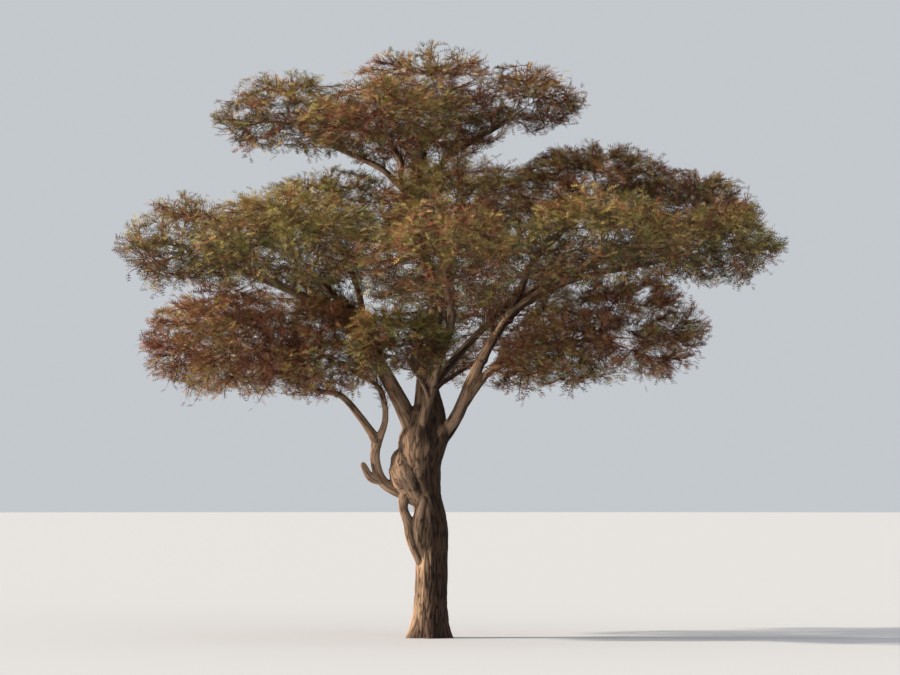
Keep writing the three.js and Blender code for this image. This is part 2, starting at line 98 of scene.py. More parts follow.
# Foliage masses: centre, half breadth, depth and height, how leafy and how green from 0 to 1 and how far
# apart the twiglets are, parent limb and where the bough leaves it, the bough's radius at its base, and
# if given its radius at the tip and the points that it passes
MASSES = [
    ("cap_centre", (0.02, -0.08, 5.36), (0.88, 0.86, 0.6), (0.8, 0.3, 0.022), "trunk", 0.93, 0.098, 0.036,
     [(-0.04, 0.02, 2.7), (0.06, 0.04, 3.35), (-0.17, 0.03, 4.25)]),
    ("cap_left", (-1.4, 0.15, 5.21), (0.81, 0.82, 0.5), (0.95, 0.55, 0.025), "cap_centre", 0.83, 0.04),
    ("cap_right", (0.98, 0.1, 5.38), (0.62, 0.72, 0.39), (0.6, 0.15, 0.02), "cap_centre", 0.82, 0.034),
    ("cap_front", (-0.45, -1.18, 5.11), (0.88, 0.6, 0.49), (0.85, 0.45, 0.024), "cap_centre", 0.77, 0.038),
    ("cap_back", (-0.12, 1.18, 5.17), (0.98, 0.64, 0.49), (0.8, 0.4, 0.026), "cap_centre", 0.74, 0.038),
    ("left_tip", (-2.44, -0.3, 3.89), (0.7, 0.92, 0.56), (0.95, 0.6, 0.027), "trunk", 0.86, 0.096, 0.032,
     [(-0.33, -0.06, 2.42), (-0.76, -0.12, 3.06), (-1.3, -0.2, 3.42)]),
    ("left_top", (-1, 0.32, 4.23), (1.04, 0.98, 0.51), (1.0, 0.8, 0.027), "left_tip", 0.42, 0.044),
    ("left_front", (-1.32, -1.38, 3.88), (1.02, 0.98, 0.62), (1.0, 0.85, 0.027), "left_tip", 0.33, 0.046),
    ("left_back", (-1.62, 1.68, 3.94), (1.08, 0.98, 0.58), (0.9, 0.7, 0.031), "left_tip", 0.24, 0.05),
    ("right_shoulder", (2.64, 0.56, 4.27), (0.74, 0.88, 0.46), (0.9, 0.14, 0.018),
     "trunk", 0.78, 0.086, 0.03,
     [(0.11, -0.06, 1.98), (0.27, -0.1, 2.22), (0.43, -0.11, 2.6), (0.65, -0.06, 3.01),
      (0.93, 0.02, 3.33)]),
    ("right_top", (1.65, 0.2, 4.51), (1.01, 0.96, 0.48), (0.9, 0.08, 0.016), "right_shoulder", 0.5, 0.042),
    ("right_tip", (2.84, -0.48, 3.9), (0.7, 0.9, 0.49), (1.0, 0.6, 0.022), "right_shoulder", 0.58, 0.036),
    ("right_front", (1.66, -1.48, 3.88), (1.02, 0.98, 0.6), (0.95, 0.6, 0.027),
     "right_shoulder", 0.36, 0.046),
    ("front", (0.13, -2.25, 3.67), (0.92, 0.74, 0.6), (0.95, 0.5, 0.026), "trunk", 0.88, 0.07, 0.032,
     [(0.04, -0.43, 2.62), (0.21, -1, 3.13)]),
    ("centre_front", (0.28, -0.9, 4.21), (0.9, 0.86, 0.66), (0.9, 0.5, 0.024), "front", 0.3, 0.044),
    ("clump_front", (-0.29, -1.24, 2.92), (0.56, 0.54, 0.44), (1.0, 0.5, 0.0155), "front", 0.2, 0.028),
    ("back", (0.1, 2.3, 3.85), (0.98, 0.74, 0.62), (0.9, 0.6, 0.031), "trunk", 0.88, 0.074, 0.032,
     [(-0.03, 0.42, 2.62), (0.02, 0.98, 3.12)]),
    ("centre_back", (0.33, 1.05, 4.27), (0.92, 0.82, 0.61), (0.8, 0.4, 0.026), "back", 0.3, 0.044),
    ("right_back", (1.76, 1.78, 4.01), (1.08, 0.98, 0.57), (0.9, 0.6, 0.031), "back", 0.24, 0.05),
    ("low_left_out", (-2.08, -0.56, 2.9), (0.82, 0.82, 0.68), (0.7, 0.03, 0.015),
     "low_left", 0.985, 0.042, 0.022,
     [(-0.7, -0.13, 2.21), (-0.9, -0.16, 2.42), (-1.16, -0.22, 2.47)]),
    ("low_left_in", (-1.06, -0.64, 2.86), (0.62, 0.66, 0.6), (0.75, 0.08, 0.015),
     "low_left", 0.93, 0.038, 0.02,
     [(-0.445, -0.13, 2.18), (-0.5, -0.15, 2.48)]),
    ("low_left_back", (-1.78, 0.98, 2.96), (0.88, 0.82, 0.6), (0.65, 0.2, 0.024), "left_back", 0.34, 0.034),
    ("low_right_out", (1.98, -0.34, 3.06), (0.82, 0.8, 0.64), (0.7, 0.12, 0.015),
     "right_shoulder", 0.2, 0.04, 0.022,
     [(0.76, -0.15, 2.8)]),
    ("low_right_in", (1.12, -0.64, 2.92), (0.7, 0.7, 0.64), (0.75, 0.16, 0.016),
     "low_right_out", 0.3, 0.028),
    ("low_back", (0.62, 1.5, 3.02), (0.9, 0.8, 0.6), (0.65, 0.2, 0.022), "back", 0.14, 0.034),
]

# The space of a mass, and how the foliage fills it: dented by waves, each with its size and share, and
# thinner towards its rim, more so outwards. The low and the full masses are blunt. Whips may spill over.
BETWEEN_MASSES = 0.014
ENTRY_DEPTH = 0.09
EDGE = 0.004
SPILL = 0.03
DENT = {"deep": 0.36, "waves": ((0.62, 0.6), (0.19, 0.4))}
RIM = {"over": 1.35, "under": 1.9, "full": 2.0, "wedge": 0.34, "middle": 0.5}
FULL = ("right_top", "right_shoulder")
# The waves' pattern: the axis and pitch of each, how far another axis bends it, and that one's pitch
WAVES = ((0, 1, 1.7, 1, 0.6), (1, 1, 1.3, 2, 0.7), (2, 1.6, 1.5, 0, 0.5))
WAVE_SPAN = 3.2

# Growth of a mass. Pairs such as length and sizes are a least value and how far it varies.
SOURCE_SHOOTS = 8
SHOOTS = 230
BUD = {
    "reach": 0.97, "top": 0.93, "fall": 1.75, "inner": 0.62, "inwards": 1.6,
    "margin": 0.013, "pulls": 12, "pull": 0.05,
}
STEM = {"drop": 0.12, "bend": 0.4, "forks": 3, "rings": 7, "sides": 6}
FLATTEN = 1.7
TURN_COST = 0.35
CLEAR = 0.012
NEAR = 0.3
BATCH = 4000
SHOOT = {"zigzag": 0.035, "lean": 0.3, "turn": 1.7, "slimmer": 0.85, "sides": 3}
SHOOT_BENDS = np.array((0, 1, 0, -1, 0))
SOURCE_FORKS = (0.5, 1)
FINE_FORKS = (0.3, 0.6, 1)
TWIG_END = 0.003
TWIGLET = {
    "longest": 0.24, "length": (0.55, 0.45), "least": 0.09, "radius": 0.0038, "taper": 0.65, "sides": 3,
    "from": 0.12, "turn": 6, "lean": 1.2, "out": 0.7, "lift": 0.3, "bend": 0.07,
}
TWIGLET_TRIES = ((0, 1), (math.pi, 0.9), (math.pi / 2, 0.65), (-math.pi / 2, 0.45))
WHIPS = {"share": 0.14, "longer": 1.7, "out": 1.6, "radius": 0.005}
SPRAY = {
    "places": (0.22, 0.45, 0.66, 0.86, 1), "length": 0.083, "sizes": (0.75, 0.45),
    "turn": 2.4, "out": 1.1, "level": 0.6, "roll": 0.8, "rolls": 3,
}
# Twiglets on the boughs, from a share of their length
SLEEVE = {"from": 0.3, "rings": 9, "gap": 0.013, "lift": 1.5, "leafiness": 0.7, "green": 0.3}
# The lane in front of the pale right bough that is left open
LANE = {"bough": "right_shoulder", "from": 0.3, "to": 0.98, "width": 0.085, "steps": 60}
MOST_FACES = 190000

# Painted shade: where the darker tints go, the undersides and insides of the masses, less of them in the
# low ones, and the core of the crown. Patches make each mass greener here and browner there.
UNDERSIDE = {"from": 0.36, "depth": 0.6, "inside": 0.62, "edge": (0.6, 0.4), "low": 0.35}
CORE = {"at": (0.1, -0.3, 3.3), "half": (1.0, 1.3, 0.55), "edge": (0.7, 0.3)}
PATCH = {"size": 1.1, "shift": 0.37, "swing": 0.75}

# Wood: size of the cells that the limbs are grown together in, how far up a bough the trunk's piece goes,
# and the half-round ends
TRUNK_VOXEL = 0.0085
BOUGH_VOXEL = 0.012
SMOOTHING = 3
FORK = {"length": 0.55, "most": 0.9, "overlap": 0.02}
TUBE_ROUNDNESS = 5
ROUND_END = (25, 50, 72)
GROUND_MARGIN = 0.06

# Snags, burls and strands on the trunk's piece alone: points and the radius at each
STUBS = [
    ("elbow_snag", [(-0.49, -0.1, 1.565), (-0.59, -0.12, 1.6), (-0.665, -0.13, 1.725)],
     (0.044, 0.044, 0.03)),
    ("burl", [(-0.27, -0.06, 1.77), (-0.24, -0.07, 1.6), (-0.14, -0.05, 1.42)], (0.125, 0.165, 0.11)),
    ("burl_knob", [(-0.35, -0.12, 1.66), (-0.29, -0.14, 1.56)], (0.065, 0.085)),
    ("strand",
     [(-0.24, -0.09, 1.47), (-0.265, -0.11, 1.3), (-0.215, -0.12, 1.15), (-0.2, -0.1, 1),
      (-0.1, -0.06, 0.76)],
     (0.065, 0.046, 0.053, 0.044, 0.045)),
    ("next_strand",
     [(-0.07, -0.1, 1.38), (-0.115, -0.11, 1.17), (-0.13, -0.08, 0.98), (-0.09, -0.05, 0.78)],
     (0.06, 0.058, 0.055, 0.045)),
    ("shoulder", [(-0.01, -0.05, 1.6), (0.045, -0.06, 1.84), (0.13, -0.08, 2.06)], (0.075, 0.095, 0.085)),
    ("crotch", [(0, -0.03, 1.95), (0.05, -0.04, 2.2), (0.03, -0.02, 2.44)], (0.13, 0.11, 0.07)),
]

# The bark's relief: breadth and length of a ridge and the share of a fine one, how it is shaped, its
# depth as a share of the limb's radius, and how it fades towards a joint
BARK = {
    "wide": 0.021, "long": 0.2, "fine": 0.45, "fissure": 0.36, "round": 0.7, "crumble": 0.45, "level": 0.7,
    "share": 0.06, "least": 0.003, "most": 0.009, "calm": 0.03, "joint": (0.4, 0.6), "shift": 3.1,
}

# Shades, each bark's from its fissures to its ridges: first the bark's colour darkened as painted shade,
# then the bark with painted sunlight on it and bleached patches. The table says how far the trunk, the
# boughs and the limbs painted as sunlit are painted lit and bleached to begin with, how softly they blend,
# and how much the painted sunlit left side and the bleached patches add.
SHADED_BARK = ("120b09", "23170f", "3b2b21")
LIT_AND_BLEACHED_BARK = ("382a20", "775e4a", "9d826a")
SHADE_PLACES = (0.15, 0.62, 1.0)
PAINTED_LIGHT_AND_BLEACH = {
    "trunk": -0.12, "boughs": 0.5, "pale": 1.15, "blend": 0.035, "lean": 0.95, "patch": 0.6,
    "size": (0.09, 0.09, 0.4),
}
# Limbs painted pale as if the sun fell on them, though their bark is like the rest
LIMBS_PAINTED_LIT = (
    "low_left", "low_left_out", "low_left_in", "left_tip", "right_shoulder", "elbow_snag", "burl",
    "burl_knob", "strand", "next_strand",
)

# Tints, with their weights in the light and on the underside, where the darker ones paint shade: a plain
# part, and parts for how green, how brown and how dry the place is, where it has them
TWIG_TINTS = [
    ("grey_brown", "8c6a52", (0.45,), (0.15,)),
    ("red_brown", "804a35", (0.05, 0, 0.7), (0.05, 0, 0.4)),
    ("dark_brown", "45291c", (0.2,), (0.5,)),
]
LEAF_TINTS = [
    ("olive", "8a803f", (0, 0.6), (0, 0.2)),
    ("dusty_olive", "9c8a57", (0.1, 0.2), (0.08,)),
    ("yellowed", "a98f52", (0.08, 0.1), (0.03,)),
    ("dark_green", "53542d", (0, 0.3), (0, 0.6)),
    ("dry_brown", "8f5c41", (0, 0, 0, 0.6), (0, 0, 0, 0.35)),
    ("deep_brown", "4e3123", (0, 0, 0.1), (0.15, 0, 0.4)),
]
DRYING = 1.5

# Roughness and specular level
BARK_SHINE = (0.92, 0.25)
TWIG_SHINE = (0.85, 0.2)
LEAFLET_SHINE = (0.6, 0.3)
FLOOR_SHINE = (0.95, 0.1)

# Floor, sky, lamps with the way to each, its strength, shade and angle, and the camera
FLOOR_RADIUS = 150
FLOOR_SIDES = 96
FLOOR_SHADE = "bdc0c4"
SKY_SHADE = "dfe4ea"
SKY_STRENGTH = 0.75
LAMPS = [
    ("sun", (-0.92, -0.08, 0.6), 4.5, "fff0db", 0.05),
    ("low_side", (-0.98, 0.02, 0.13), 4.4, "ffeddb", 0.1),
    ("fill", (0.4, -0.9, 0.5), 0.4, "f2f0f0", 0.6),
]
CAMERA_AT = (0.2, -45, 1.63)
CAMERA_AIM = (0.2, 0, 3.0)
LENS = 180
CAMERA_REACH = 1000

GOLDEN_ANGLE = math.pi * (3 - math.sqrt(5))
EVEN_STEPS = (0.8191725134, 0.6710436067, 0.5497004779, 0.4503195)
SEED_STEP = 0.137
UP = np.array((0.0, 0.0, 1.0))
STEEP = 0.9
NUDGE = 0.01
ACROSS_START = (0.0, 1.0, 0.2)
WAY_STEP = 1e-4
LEAST_OFFSET = 1e-6
TINY = 1e-9


def even(n, which, seed):
    """Term n of a sequence that spreads evenly over 0 to 1."""
    return (0.5 + seed * SEED_STEP + n * EVEN_STEPS[which]) % 1


def spread(first, count, which, seed):
    """Terms of that sequence as an array, from a first one that each use has."""
    return even(first + np.arange(count), which, seed)


def varied(pair, chance):
    """A least value plus a chance from 0 to 1 of how far it varies."""
    least, extra = pair
    return least + extra * chance


def unit(v):
    """Vectors of the same way and of length 1."""
    return v / np.maximum(np.linalg.norm(v, axis=-1, keepdims=True), TINY)


def along_line(line, shares):
    """The points at shares of a line of points, and the ways there."""
    places = shares * (len(line) - 1)
    i = np.minimum(places.astype(int), len(line) - 2)
    steps = line[i + 1] - line[i]
    return line[i] + steps * (places - i)[:, None], unit(steps)


def square_to(ways, deciding):
    """Unit vectors square to the ways, from the upright unless the deciding ways are steep."""
    steep = np.abs(deciding[..., 2:]) > STEEP
    return unit(np.cross(ways, np.where(steep, (1.0, 0, 0), (0, 0, 1.0))))


def waves(points, size):
    """A smooth uneven pattern from 0 to 1, of a given size."""
    p = (points / size * 2 * math.pi).T
    total = sum(
        np.sin(pitch * p[own] + bend * np.sin(bend_pitch * p[other]))
        for own, pitch, bend, other, bend_pitch in WAVES
    )
    return np.clip(0.5 + total / WAVE_SPAN, 0, 1)


def dents(points):
    """How deep the foliage's outer surface is dented at each point, from 0 to 1."""
    return sum(share * waves(points, size) for size, share in DENT["waves"])


class SmoothLine:
    """A centripetal Catmull-Rom curve through points."""

    def __init__(self, points):
        p = np.array(points, float)
        self.p = np.vstack([2 * p[0] - p[1], p, 2 * p[-1] - p[-2]])
        self.spans = len(p) - 1
        table = self.at(CLOSE_SHARES)
        self.lengths = np.concatenate([[0], np.cumsum(np.linalg.norm(np.diff(table, axis=0), axis=1))])
        self.length = self.lengths[-1]

    def at(self, t):
        t = np.clip(np.atleast_1d(np.asarray(t, float)), 0, 1) * self.spans
        i = np.minimum(t.astype(int), self.spans - 1)
        w = (t - i)[:, None]
        x0, x1, x2, x3 = (self.p[i + k] for k in range(4))
        d0, d1, d2 = (
            np.sqrt(np.linalg.norm(b - a, axis=1, keepdims=True))
            for a, b in ((x0, x1), (x1, x2), (x2, x3))
        )
        t1 = ((x1 - x0) / d0 - (x2 - x0) / (d0 + d1) + (x2 - x1) / d1) * d1
        t2 = ((x2 - x1) / d1 - (x3 - x1) / (d1 + d2) + (x3 - x2) / d2) * d1
        return (
            x1 + t1 * w + (-3 * x1 + 3 * x2 - 2 * t1 - t2) * w**2 + (2 * x1 - 2 * x2 + t1 + t2) * w**3
        )

    def share(self, s):
        """The curve's own parameter at a share of its length."""
        return np.interp(s, self.lengths / self.length, CLOSE_SHARES)

    def at_length(self, s):
        """The place at a share of the length."""
        return self.at(self.share(s))

    def way(self, s):
        """The unit vector along the curve at a share of its length."""
        t = self.share(s)
        return unit(self.at(np.minimum(t + WAY_STEP, 1)) - self.at(np.maximum(t - WAY_STEP, 0)))


class Mass:
    """The space that a mass keeps to: an ellipsoid cut by a plane towards each neighbour."""

    def __init__(self, name, at, half, look, parent, share, base, end=BOUGH_END, via=None):
        self.name, self.parent, self.share, self.via = name, parent, share, via
        self.base, self.end = base, end
        self.leafiness, self.green, self.gap = look
        self.at = np.array(at, float)
        self.half = np.array(half, float)
        self.low = name.startswith("low")
        self.over = RIM["full" if self.low or name in FULL else "over"]
        central = np.hypot(*self.at[:2]) <= RIM["middle"]
        self.outward = np.zeros(3) if central else unit(self.at * (1, 1, 0))

    def face(self, masses):
        """Set the planes towards the other masses."""
        ways, limits = [], []
        for other in masses:
            if other is self:
                continue
            way = other.at - self.at
            apart = np.linalg.norm(way)
            way = way / apart
            own = 1 / np.linalg.norm(way / self.half)
            theirs = 1 / np.linalg.norm(way / other.half)
            ways.append(way)
            limits.append(apart * own / (own + theirs) - BETWEEN_MASSES / 2)
        self.ways = np.array(ways)
        self.limits = np.array(limits)

    def holds(self, points, margin, dented=False):
        """Which points are in the mass: in all its space, or only where its foliage is thick."""
        points = np.atleast_2d(points)
        p = points - self.at
        shares = np.abs(p / (self.half - margin))
        if dented:
            power = np.where(p[:, 2] > 0, self.over, RIM["under"])
            thin = 1 - RIM["wedge"] * np.clip((p / self.half) @ self.outward, 0, 1) ** 2
            reach = shares[:, 0] ** 2 + shares[:, 1] ** 2 + (shares[:, 2] / thin) ** power
            inside = reach <= 1 - DENT["deep"] * dents(points)
        else:
            inside = (shares**2).sum(1) <= 1
        return inside & np.all(p @ self.ways.T < self.limits - margin, axis=1)


class Limb:
    """A limb: its curve, line segments with the radius at each end, and close samples for its skin, with
    the place, the way, two ways square to it that don't twist, the length so far and the radius."""

    def __init__(self, name, curve, radius_at, steps=FEWEST_STEPS):
        self.curve = curve
        t = np.linspace(0, 1, steps * LINES_IN_STEP + 1)
        self.line, self.line_radii = curve.at(t), radius_at(t)
        t = np.linspace(0, 1, max(FEWEST_CLOSE, int(curve.length / CLOSE_STEP)))
        self.at, self.way = curve.at_length(t), curve.way(t)
        self.radii = radius_at(curve.share(t))
        self.reach = self.radii if name != "trunk" else np.minimum(self.radii, TRUNK[0][1])
        self.so_far = t * curve.length
        across = unit(np.cross(self.way[0], ACROSS_START))
        rows = []
        for way in self.way:
            across = unit(across - way * (across @ way))
            rows.append(across)
        self.across = np.array(rows)
        self.along = np.cross(self.way, self.across)

    def nearest(self, points):
        """How far each point is from the limb's surface, and the sample that is nearest to it."""
        squares = (points**2).sum(1)[:, None] + (self.at**2).sum(1) - 2 * points @ self.at.T
        gaps = np.sqrt(np.maximum(squares, 0)) - self.reach
        return gaps.min(1), gaps.argmin(1)


def trunk_radius(t):
    """The trunk's radius up its length, with the flare at its foot but not the buttresses."""
    rows = np.array([r for _, r in TRUNK])
    places = np.linspace(0, 1, len(rows))
    below, above = (np.interp(t + step, places, rows) for step in (-TRUNK_BLUR, TRUNK_BLUR))
    smooth = (below + above + 2 * np.interp(t, places, rows)) / 4
    z = trunk_curve.at(t)[:, 2]
    return smooth * (1 + FLARE["grow"] * np.exp(-z / FLARE["height"]))


def limb_points(start, via, tip, seed):
    """The points that a limb passes: those given, or a crooked rise from its start to its tip."""
    chord = tip - start
    if via is not None:
        return [start, *via, tip]
    sideways = unit(np.array((-chord[1], chord[0], 0.0)))
    crook = CROOK * np.linalg.norm(chord)
    middle = []
    for i, (across, up) in enumerate(RISE):
        point = start + chord * np.array((across, across, up))
        middle.append(point + sideways * crook * (2 * even(i, 0, seed) - 1))
    return [start, *middle, tip]


def entry_point(mass, start):
    """Where a bough from its last bend has come a little way into its mass."""
    line = start + (mass.at - start) * CLOSE_SHARES[:, None]
    inside = mass.holds(line, ENTRY_DEPTH)
    return line[np.argmax(inside)] if inside.any() else mass.at.copy()


trunk_curve = SmoothLine([p for p, _ in TRUNK])
masses = [Mass(*row) for row in MASSES]
for mass in masses:
    mass.face(masses)


def grow_limbs():
    """The trunk, the elbow and a bough for each mass, each from the limb that bears it."""
    limbs = {"trunk": Limb("trunk", trunk_curve, trunk_radius, TRUNK_STEPS)}

    def add(name, parent, share, via, base, end, mass=None):
        start = limbs[parent].curve.at_length(share)[0]
        bend = start if via is None else np.array(via[-1], float)
        tip = np.array(ELBOW["tip"]) if mass is None else entry_point(mass, bend)
        curve = SmoothLine(limb_points(start, via, tip, len(limbs)))

        def radius_at(t):
            collar = 1 + COLLAR["grow"] * np.exp(-t * curve.length / COLLAR["length"])
            return (base + (end - base) * t) * collar

        steps = int(np.clip(round(curve.length / LIMB_STEP), FEWEST_STEPS, MOST_STEPS))
        limbs[name] = Limb(name, curve, radius_at, steps)

    add("low_left", "trunk", ELBOW["share"], ELBOW["via"], ELBOW["base"], ELBOW["end"])
    for mass in masses:
        add(mass.name, mass.parent, mass.share, mass.via, mass.base, mass.end, mass)
    return limbs


def grow_stub(name, points, radii):
    """A snag, burl or strand as a short limb."""
    places = np.linspace(0, 1, len(radii))
    return Limb(name, SmoothLine(points), lambda t: np.interp(t, places, radii))


limbs = grow_limbs()
stubs = {row[0]: grow_stub(*row) for row in STUBS}
all_limbs = {**limbs, **stubs}
SEGMENTS = np.vstack([np.hstack([limb.line[:-1], limb.line[1:]]) for limb in limbs.values()])
SEGMENT_RADII = np.concatenate([limb.line_radii[:-1] for limb in limbs.values()])


def clear_of_limbs(points, radius):
    """Which points stand clear of every limb."""
    points = np.atleast_2d(points)
    a, d = SEGMENTS[:, :3], SEGMENTS[:, 3:] - SEGMENTS[:, :3]
    below = np.minimum(a, a + d) < points.max(0) + NEAR
    above = np.maximum(a, a + d) > points.min(0) - NEAR
    near = (below & above).all(1)
    a, d, r = a[near], d[near], SEGMENT_RADII[near]
    free = np.ones(len(points), bool)
    for i in range(0, len(points), BATCH):
        p = points[i:i + BATCH]
        t = np.einsum("pij,ij->pi", p[:, None] - a, d) / (d * d).sum(1)
        gap = np.linalg.norm(p[:, None] - a - d * np.clip(t, 0, 1)[..., None], axis=2)
        free[i:i + BATCH] = (gap > r + radius + CLEAR).all(1)
    return free


def bud_point(mass, n, seed):
    """Bud n: one on the side that faces out of the crown, one on top, the others spread evenly."""
    angle = math.atan2(mass.at[1], mass.at[0]) + GOLDEN_ANGLE * n
    if n == 1:
        shares = np.array((0, 0, BUD["reach"]))
    else:
        height = 0 if n == 0 else BUD["top"] - BUD["fall"] * even(n, 0, seed)
        out = math.sqrt(1 - height * height) * BUD["reach"]
        shares = np.array((math.cos(angle) * out, math.sin(angle) * out, height))
    finer = n >= SOURCE_SHOOTS
    if finer:
        shares = shares * (1 - BUD["inner"] * even(n, 1, seed) ** BUD["inwards"])
    bud = mass.at + shares * mass.half
    for _ in range(BUD["pulls"]):
        if mass.holds(bud, BUD["margin"], dented=finer)[0]:
            break
        bud = bud + (mass.at - bud) * BUD["pull"]
    return bud


def grow_mass(mass, seed):
    """The stem of a mass and its shoots as lines, each shoot from the nearest wood, and their radii."""
    curve = limbs[mass.name].curve
    foot = curve.at_length(1)[0]
    tip_way = curve.way(1)[0]
    stem_end = mass.at - UP * STEM["drop"] * mass.half[2]
    bend = foot + tip_way * STEM["bend"] * np.linalg.norm(stem_end - foot)
    t = np.linspace(0, 1, STEM["rings"])[:, None]
    stem = foot * (1 - t) ** 2 + bend * 2 * t * (1 - t) + stem_end * t**2
    lines, parents, froms = [stem], [-1], [0.0]
    wood_at, wood_way, wood_twig, wood_share = [], [], [], []

    def add_wood(line, twig, shares):
        points, ways = along_line(line, np.array(shares, float))
        wood_at.extend(points)
        wood_way.extend(ways)
        wood_twig.extend([twig] * len(shares))
        wood_share.extend(shares)

    add_wood(stem, 0, [(i + 1) / STEM["forks"] for i in range(STEM["forks"])])
    for n in range(SHOOTS):
        bud = bud_point(mass, n, seed)
        at, way = np.array(wood_at), np.array(wood_way)
        to_bud = bud - at
        turn = 1 - (unit(to_bud) * way).sum(1)
        cost = np.linalg.norm(to_bud * (1, 1, FLATTEN), axis=1) * (1 + TURN_COST * turn)
        best = int(np.argmin(cost))
        start = at[best]
        length = np.linalg.norm(bud - start)
        if length < TWIGLET["least"]:
            continue
        line = start + (bud - start) * np.linspace(0, 1, len(SHOOT_BENDS))[:, None]
        side = unit(np.cross(bud - start, UP + SHOOT["lean"] * way[best]))
        angle = n * SHOOT["turn"]
        side = side * math.cos(angle) + unit(np.cross(side, bud - start)) * math.sin(angle)
        line = line + side * SHOOT["zigzag"] * length * SHOOT_BENDS[:, None]
        if not (mass.holds(line[1:-1], EDGE).all() and clear_of_limbs(line[1:], 2 * TWIG_END).all()):
            continue
        lines.append(line)
        parents.append(wood_twig[best])
        froms.append(wood_share[best])
        add_wood(line, len(lines) - 1, SOURCE_FORKS if n < SOURCE_SHOOTS else FINE_FORKS)
    loads = np.ones(len(lines))
    for i in range(len(lines) - 1, 0, -1):
        loads[parents[i]] += loads[i]
    bases = np.zeros(len(lines))
    for i, (parent, start) in enumerate(zip(parents, froms)):
        own = mass.end * math.sqrt(loads[i] / loads[0])
        there = bases[parent] * (1 - start) + TWIG_END * start
        most = own if parent < 0 else SHOOT["slimmer"] * there
        bases[i] = max(min(own, most), TWIGLET["radius"])
    return lines, bases


def rod_points(lines, radii, sides):
    """Rings of points round many lines at once. lines is (rods, rings, 3) and radii (rods, rings)."""
    ways = unit(np.gradient(lines, axis=1))
    across = square_to(ways, ways[:, :1])
    along = np.cross(ways, across)
    angles = np.linspace(0, 2 * math.pi, sides, endpoint=False)[:, None]
    ring = across[:, :, None] * np.cos(angles) + along[:, :, None] * np.sin(angles)
    return (lines[:, :, None] + ring * radii[..., None, None]).reshape(len(lines), -1, 3)


def rod_faces(rings, sides, pointed=False):
    """The three-cornered faces of one closed rod, which may come to a point past its last ring."""
    faces = []
    for k in range(0, (rings - 1) * sides, sides):
        for j in range(sides):
            a, b = k + j, k + (j + 1) % sides
            faces += [(a, b, b + sides), (a, b + sides, a + sides)]
    last = (rings - 1) * sides
    for i in range(1, sides - 1):
        faces.append((0, i + 1, i))
        if not pointed:
            faces.append((last, last + i, last + i + 1))
    if pointed:
        faces += [(last + j, last + (j + 1) % sides, last + sides) for j in range(sides)]
    return np.array(faces)


def linked(name, data):
    """A new object in the scene."""
    made = bpy.data.objects.new(name, data)
    bpy.context.scene.collection.objects.link(made)
    return made


def mesh_piece(name, points, faces, material):
    """A mesh object from arrays of points and three-cornered faces."""
    mesh = bpy.data.meshes.new(name)
    mesh.vertices.add(len(points))
    mesh.vertices.foreach_set("co", np.asarray(points, np.float32).ravel())
    mesh.loops.add(len(faces) * 3)
    mesh.loops.foreach_set("vertex_index", np.asarray(faces, np.int32).ravel())
    mesh.polygons.add(len(faces))
    mesh.polygons.foreach_set("loop_start", np.arange(0, len(faces) * 3, 3, dtype=np.int32))
    mesh.update(calc_edges=True)
    mesh.materials.append(material)
    return linked(name, mesh)


class Heap:
    """Copies of small shapes, joined into meshes of a limited number of faces."""

    def __init__(self, name, material):
        self.name, self.material, self.pieces = name, material, []
        self.start()

    def start(self):
        """Empty the heap."""
        self.points, self.faces, self.point_count, self.face_count = [], [], 0, 0

    def add(self, points, faces):
        """Add copies that share their faces. points is (copies, points in one, 3)."""
        copies, each, _ = points.shape
        if not copies:
            return
        if self.face_count + copies * len(faces) > MOST_FACES:
            self.close()
        offsets = self.point_count + np.arange(copies)[:, None, None] * each
        self.points.append(points.reshape(-1, 3))
        self.faces.append((faces[None] + offsets).reshape(-1, 3))
        self.point_count += copies * each
        self.face_count += copies * len(faces)

    def close(self):
        """Make a mesh of what is on the heap."""
        if self.face_count:
            name = f"{self.name}_{len(self.pieces) + 1}"
            points, faces = np.concatenate(self.points), np.concatenate(self.faces)
            self.pieces.append(mesh_piece(name, points, faces, self.material))
        self.start()


def tints_for(tints, green, under, shares):
    """Which tint each share from 0 to 1 falls to, by how green it is there and whether it is in painted
    shade.
    """
    brown = 1 - green
    parts = (1, green, brown, brown**DRYING)
    kinds = []
    for rows in zip(*(tint[2:] for tint in tints)):
        weights = [sum(w * part for w, part in zip(row, parts)) * np.ones(len(shares)) for row in rows]
        edges = np.cumsum(weights, axis=0)
        kinds.append((shares > edges[:-1] / edges[-1]).sum(0))
    return np.where(under, kinds[1], kinds[0])


def round_about(ways, angles):
    """Unit vectors square to the ways, turned by the angles."""
    across = square_to(ways, ways)
    return across * np.cos(angles)[:, None] + np.cross(ways, across) * np.sin(angles)[:, None]


